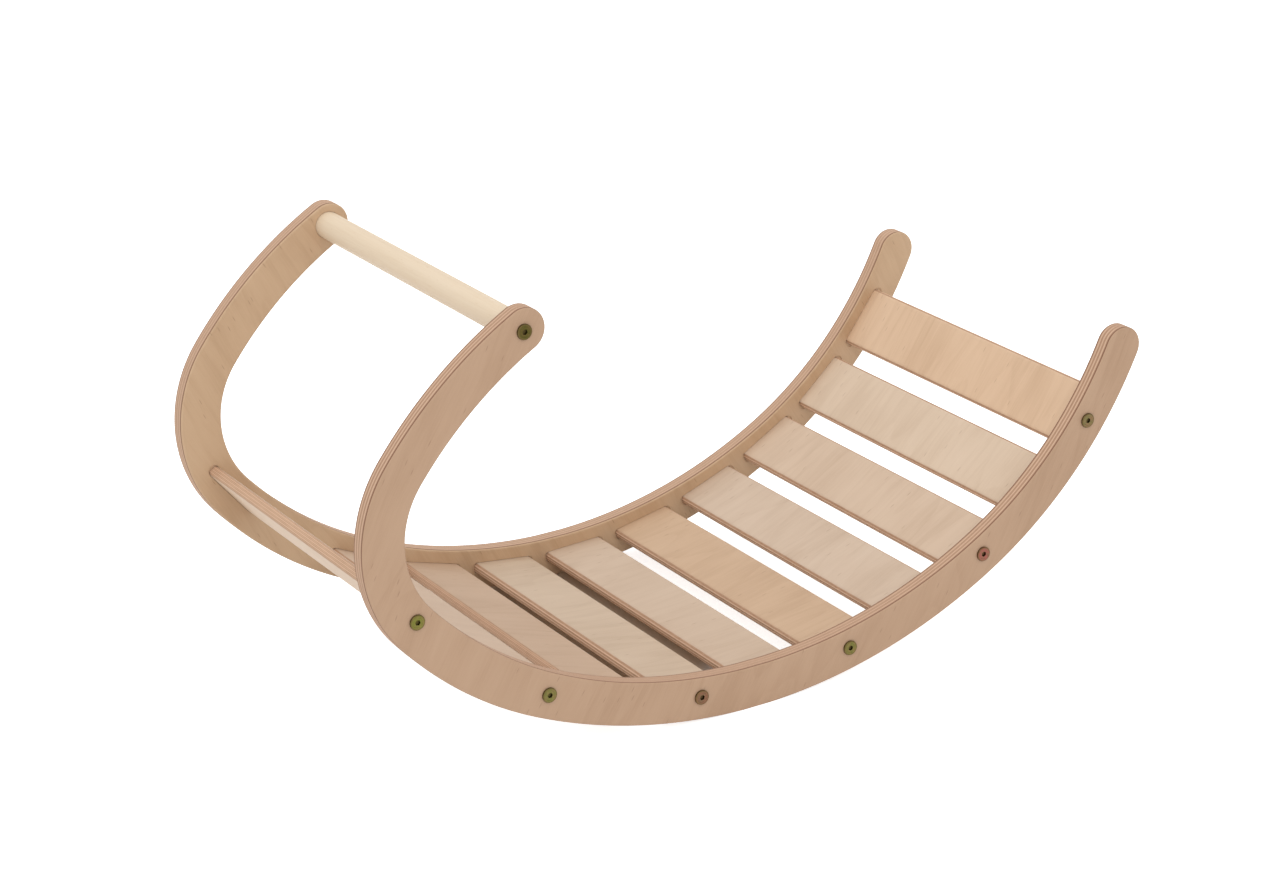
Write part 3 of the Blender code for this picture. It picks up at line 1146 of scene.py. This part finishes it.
@dataclass
class Slats:
    """The ten flat slats, each with its own face of the same plywood."""

    plan: RockerPlan
    section: SlatSection
    land: float = 0.0005
    end: float = 0.1927
    plies: int = 9
    sanded: float = 0.5
    pale_edge: Colour = screen(240, 208, 178)
    plain_edge: Colour = screen(196, 158, 128)
    end_ply: Colour = screen(166, 122, 92)
    glue: Colour = screen(124, 83, 57)
    first_shift: float = 31.0
    shift_step: float = 5.3
    # Each slat's tone is its own colour and also painted shade from where it stands: darkest on slat 8,
    # which the hook shades.
    looks: tuple[SlatLook, ...] = (
        SlatLook(screen(213, 181, 150)),
        SlatLook(screen(210, 187, 163), figure=0.9),
        SlatLook(screen(204, 179, 155)),
        SlatLook(screen(202, 179, 157)),
        SlatLook(screen(197, 166, 136)),
        SlatLook(screen(197, 173, 150)),
        SlatLook(screen(196, 173, 149)),
        SlatLook(screen(188, 159, 133), plies_shown=0.3),
        SlatLook(screen(198, 172, 148), figure=0.8),
        SlatLook(screen(208, 183, 158), figure=0.8, plies_shown=0.4),
    )

    def build(self) -> None:
        """Builds and dresses the ten slats."""
        for number, (place, tilt) in enumerate(self.plan.slat_places(), start=1):
            mesh = bmesh.new()
            Workshop.prism(mesh, self.section.outline(land=self.land), -self.end, self.end)
            slat = Workshop.piece(f"birch_slat_{number:02d}", mesh)
            slat.location = (place.x, 0.0, place.y)
            slat.rotation_euler = (0.0, -tilt, 0.0)
            material = self._finish(number).material(Lay.flat(self.section.thickness))
            Workshop.hand_over(slat, material, f"slat_{number:02d}", "slat_birch")

    def _finish(self, number: int) -> PlywoodFinish:
        """Finish of one slat.

        Args:
            number: Its number, from one at the ramp tip.

        Returns:
            The finish.
        """
        look = self.looks[number - 1]
        edges = zip(self.plain_edge, self.pale_edge)
        return PlywoodFinish(
            name=f"slat_birch_{number:02d}",
            tone=look.tone,
            long_ply=tuple(plain + look.plies_shown * (pale - plain) for plain, pale in edges),
            end_ply=self.end_ply,
            glue=self.glue,
            thickness=self.section.thickness,
            plies=self.plies,
            shift=self.first_shift + self.shift_step * number,
            figure=look.figure,
            sanded=self.sanded,
            ply_contrast=look.plies_shown,
        )


@dataclass
class Handle:
    """The round bar between the two hooks."""

    plan: RockerPlan
    radius: float = 0.0135
    end: float = 0.1927
    sides: int = 96
    ease: float = 0.0008

    def build(self) -> None:
        """Builds and dresses the handle."""
        mesh = bmesh.new()
        profile = ((self.radius - self.ease, -self.end), (self.radius, self.ease - self.end))
        profile += tuple((radius, -y) for radius, y in reversed(profile))
        middle = Vector((0.0, 0.0))
        rings = []
        for radius, y in profile:
            rings.append(Workshop.ring(mesh, Workshop.circle(middle, radius, self.sides), y))
        Workshop.bridge(mesh, rings)
        mesh.faces.new(rings[0])
        mesh.faces.new(rings[-1])
        handle = Workshop.piece("beech_handle", mesh)
        place = self.plan.handle_place()
        handle.location = (place.x, 0.0, place.y)
        Workshop.hand_over(handle, DowelFinish().material(), "handle", "handle_beech")


@dataclass
class Screws:
    """Connector screws: a flat, eased head with a shallow dish and a six-sided socket."""

    plan: RockerPlan
    seat: float = 0.2053
    shank_radius: float = 0.003
    length: float = 0.050
    point: float = 0.004
    head_radius: float = 0.0075
    head_height: float = 0.0020
    ease: float = 0.0008
    ease_steps: int = 6
    dish_radius: float = 0.0047
    dish_depth: float = 0.0003
    flats: float = 0.0048
    socket_depth: float = 0.0017
    socket_sides: int = 6
    sides: int = 72
    turn_step: float = 0.9
    shift_step: float = 3.7
    hues: Mapping[str, tuple[Colour, Colour]] = field(
        default_factory=lambda: {
            "slat_01": (screen(104, 96, 58), screen(118, 93, 64)),
            "slat_03": (screen(136, 79, 69), screen(122, 88, 67)),
            "slat_05": (screen(100, 98, 47), screen(116, 98, 57)),
            "slat_07": (screen(117, 81, 61), screen(105, 83, 60)),
            "slat_09": (screen(102, 100, 50), screen(115, 100, 59)),
            "slat_10": (screen(104, 104, 43), screen(115, 102, 56)),
            "handle": (screen(76, 70, 26), screen(86, 71, 34)),
        }
    )

    def build(self) -> None:
        """Builds and dresses the fourteen screws."""
        for side in Side:
            for number, (target, place) in enumerate(self.plan.screw_places().items()):
                name = f"screw_{side.word}_{target}"
                screw = Workshop.piece(f"plated_{name}", self._shape())
                turn = Matrix.Rotation(self.turn_step * number + side.value, 4, "Z")
                lay = Matrix.Rotation(-side.value * QUARTER_TURN, 4, "X")
                seat = Matrix.Translation((place.x, side.value * self.seat, place.y))
                screw.matrix_world = seat @ lay @ turn
                finish = PlatedFinish(f"zinc_{name}", *self.hues[target], self.shift_step * number)
                material = finish.material(self.head_radius, self._dish_floor())
                Workshop.hand_over(screw, material, name, "screw_zinc")

    def _dish_floor(self) -> float:
        """Height of the floor of the dish in the head."""
        return self.head_height - self.dish_depth

    def _profile(self) -> list[tuple[float, float]]:
        """Profile from the screw's point, up the shank and over the head to its dish.

        Returns:
            The radius and height of each point.
        """
        profile = [(self.shank_radius, self.point - self.length), (self.shank_radius, 0.0)]
        profile.append((self.head_radius, 0.0))
        middle = Vector((self.head_radius - self.ease, self.head_height - self.ease))
        for step in range(self.ease_steps + 1):
            corner = middle + self.ease * heading_vector(QUARTER_TURN * step / self.ease_steps)
            profile.append((corner.x, corner.y))
        profile.append((self.dish_radius + self.dish_depth, self.head_height))
        profile.append((self.dish_radius, self._dish_floor()))
        return profile

    def _shape(self) -> Mesh:
        """Screw on its own Z axis, with the seat of its head at z = 0.

        Returns:
            The closed mesh.
        """
        mesh = bmesh.new()
        floor = self._dish_floor()
        half = math.pi / self.socket_sides
        turns = [2 * math.pi * index / self.sides for index in range(self.sides)]
        socket = [self.flats / 2 / math.cos((turn + half) % (2 * half) - half) for turn in turns]
        levels = [([radius] * self.sides, height) for radius, height in self._profile()]
        levels += [(socket, floor), (socket, floor - self.socket_depth)]
        rings = []
        for radii, height in levels:
            ring = []
            for radius, turn in zip(radii, turns):
                ring.append(mesh.verts.new((radius * math.cos(turn), radius * math.sin(turn), height)))
            rings.append(ring)
        Workshop.bridge(mesh, rings)
        mesh.faces.new(rings[-1])
        tip = mesh.verts.new((0.0, 0.0, -self.length))
        for index in range(self.sides):
            mesh.faces.new((rings[0][index], tip, rings[0][(index + 1) % self.sides]))
        return mesh


@dataclass
class Lamp:
    """A square soft box that looks at a point of the rocker."""

    name: str
    place: Triple
    target: Triple
    size: float
    power: float

    def hang(self) -> None:
        """Adds the lamp to the scene."""
        light = bpy.data.lights.new(self.name, "AREA")
        light.shape = "SQUARE"
        light.size = self.size
        light.energy = self.power
        lamp = bpy.data.objects.new(self.name, light)
        lamp.location = self.place
        aim = Vector(self.target) - Vector(self.place)
        lamp.rotation_euler = aim.to_track_quat("-Z", "Y").to_euler()
        bpy.context.scene.collection.objects.link(lamp)


@dataclass
class Studio:
    """Pale floor, soft lamps, white surroundings and the camera."""

    white: Colour = (1.0, 1.0, 1.0)
    ambient: float = 0.88
    floor_half: float = 12.0
    floor_tone: Colour = (0.86, 0.86, 0.86)
    floor_glow: float = 0.74
    shade_tone: Colour = (0.67, 0.53, 0.40)
    shade_centre: Triple = (-0.085, 0.06, 0.0)
    shade_half: Triple = (0.11, 0.2, 1.0)
    shade_edge: Step = (0.35, 1.7)
    shade_power: float = 4.0
    camera_place: Triple = (-1.6088109, -2.6691, 1.4081873)
    camera_right: Triple = (0.85442856, -0.51878043, -0.02861304)
    camera_up: Triple = (0.21029602, 0.29494783, 0.93208442)
    camera_ahead: Triple = (0.47510779, 0.80241676, -0.36110930)
    camera_reach: float = 100.0
    lens: float = 93.7637
    sensor: float = 36.0
    lamps: tuple[Lamp, ...] = (
        Lamp("key", place=(-2.0, -4.2, 3.9), target=(0.0, 0.0, 0.15), size=4.8, power=92.0),
        Lamp("top", place=(0.4, 0.6, 3.0), target=(0.0, 0.0, 0.1), size=3.0, power=13.0),
    )

    def set_up(self) -> None:
        """Adds the camera, lamps, surroundings and floor."""
        bpy.context.scene.view_settings.view_transform = "Standard"
        self._camera()
        for lamp in self.lamps:
            lamp.hang()
        self._surroundings()
        self._floor()

    def _camera(self) -> None:
        """Camera at the viewing angle of the photograph."""
        data = bpy.data.cameras.new("camera")
        data.lens = self.lens
        data.sensor_width = self.sensor
        data.clip_end = self.camera_reach
        camera = bpy.data.objects.new("camera", data)
        columns = (self.camera_right, self.camera_up, tuple(-axis for axis in self.camera_ahead))
        turn = Matrix(columns).transposed().to_4x4()
        camera.matrix_world = Matrix.Translation(self.camera_place) @ turn
        bpy.context.scene.collection.objects.link(camera)
        bpy.context.scene.camera = camera

    def _surroundings(self) -> None:
        """White where they are seen, also in metal, and plain soft light elsewhere."""
        world = bpy.data.worlds.new("studio")
        world.use_nodes = True
        bpy.context.scene.world = world
        bench = Bench(world.node_tree)
        seen = self._seen(bench)
        soft = bench.add("ShaderNodeBackground", None, {"Color": self.white, "Strength": self.ambient})
        plain = bench.add("ShaderNodeBackground", None, {"Color": self.white, "Strength": 1.0})
        both = bench.add("ShaderNodeMixShader", None, {0: seen, 1: soft, 2: plain})
        bench.add("ShaderNodeOutputWorld", None, {"Surface": both})

    @staticmethod
    def _seen(bench: Bench) -> Value:
        """Tells the rays that show the surroundings from those that only light.

        Args:
            bench: Where its nodes go.

        Returns:
            One for those that show them, and zero for the others.
        """
        camera = bench.add("ShaderNodeLightPath", output="Is Camera Ray")
        glossy = bench.add("ShaderNodeLightPath", output="Is Glossy Ray")
        through = bench.add("ShaderNodeLightPath", output="Is Transmission Ray")
        return bench.maths("MINIMUM", camera + glossy + through, 1.0)

    def _floor(self) -> None:
        """Pale floor that glows white where it is seen, with a painted brown shadow under the rocker, where
        it glows less.
        """
        mesh = bmesh.new()
        bmesh.ops.create_grid(mesh, x_segments=1, y_segments=1, size=self.floor_half)
        floor = Workshop.piece("floor", mesh)
        material, bench = Bench.for_material("pale_floor")
        place = bench.add("ShaderNodeTexCoord", output="Object")
        local = bench.vector("DIVIDE", bench.vector("SUBTRACT", place, self.shade_centre), self.shade_half)
        along = bench.along(local, (1.0, 0.0, 0.0)) ** self.shade_power
        across = bench.along(local, (0.0, 1.0, 0.0)) ** self.shade_power
        open_floor = (along + across).rise(*self.shade_edge)
        # Painted shadow: the floor's colour turns to the brown shade tone in a soft patch under the rocker.
        tone = bench.blend(open_floor, self.shade_tone, self.floor_tone)
        plain = bench.add("ShaderNodeBsdfDiffuse", None, {"Color": tone})
        glow = bench.add("ShaderNodeEmission", None, {"Color": self.white, "Strength": self.floor_glow})
        lit = bench.add("ShaderNodeAddShader", None, {0: plain, 1: glow})
        glowing = open_floor * self._seen(bench)
        bench.finish(bench.add("ShaderNodeMixShader", None, {0: glowing, 1: plain, 2: lit}))
        floor.data.materials.append(material)


def main() -> None:
    """Builds the dressed rocker in its studio."""
    logging.basicConfig(level=logging.INFO, format="%(name)s: %(message)s")
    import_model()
    plan = RockerPlan()
    section = SlatSection()
    for side in Side:
        SideBoard(plan, section, side).build()
    Slats(plan, section).build()
    Handle(plan).build()
    Screws(plan).build()
    Studio().set_up()
    bpy.context.view_layer.update()


if __name__ == "__main__":
    main()
